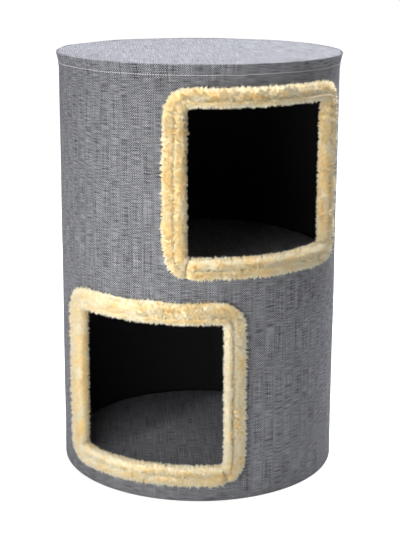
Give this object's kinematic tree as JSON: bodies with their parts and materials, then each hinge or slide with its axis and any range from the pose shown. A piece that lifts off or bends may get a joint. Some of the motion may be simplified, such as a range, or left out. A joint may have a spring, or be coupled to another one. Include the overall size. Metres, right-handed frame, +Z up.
{
  "type": "cat condo",
  "caption": "Upright cloth-covered drum with rooms stacked inside, each with a square plush-edged doorway and a loose mat, under a flat padded top.",
  "frame": {"origin": "on the floor, under the drum's axis", "axes": "+Z up along the drum's axis; the front, between the two doors, faces -Y; +X to the viewer's right"},
  "size_m": [0.4046, 0.4096, 0.6],
  "materials": {
    "board": "raw particle board",
    "tube_board": "rolled grey-brown fibreboard, raw",
    "cover_linen": "woven slubbed grey linen look",
    "lining_cloth": "matt black felted cloth",
    "dust_cloth": "matt black non-woven cloth",
    "door_plush": "golden beige long-pile plush",
    "mat_linen": "woven slubbed grey linen look",
    "mat_underside": "plain grey non-woven cloth",
    "foam": "open-cell foam",
    "fastener_steel": "zinc-plated steel wire"
  },
  "bodies": {
    "drum": {"base_board": "board", "shelf_board": "board", "top_board": "board", "wall_tube": "tube_board", "base_staples": "fastener_steel", "shelf_staples": "fastener_steel", "top_staples": "fastener_steel", "lower_lining": "lining_cloth", "lower_ceiling_cloth": "lining_cloth", "upper_lining": "lining_cloth", "upper_ceiling_cloth": "lining_cloth", "top_foam": "foam", "top_cover": "cover_linen", "side_cover": "cover_linen", "dust_cloth": "dust_cloth", "hem_staples": "fastener_steel", "lower_door_trim": "door_plush", "upper_door_trim": "door_plush"},
    "lower_mat": {"lower_mat_bottom_cloth": "mat_underside", "lower_mat_foam": "foam", "lower_mat_top_cloth": "mat_linen"},
    "upper_mat": {"upper_mat_bottom_cloth": "mat_underside", "upper_mat_foam": "foam", "upper_mat_top_cloth": "mat_linen"}
  },
  "joints": [
    {"name": "lower_mat_lift", "type": "slide", "parent": "drum", "child": "lower_mat", "axis": [0, 0, 1], "range_m": [0, 0.1]},
    {"name": "upper_mat_lift", "type": "slide", "parent": "drum", "child": "upper_mat", "axis": [0, 0, 1], "range_m": [0, 0.1]}
  ]
}
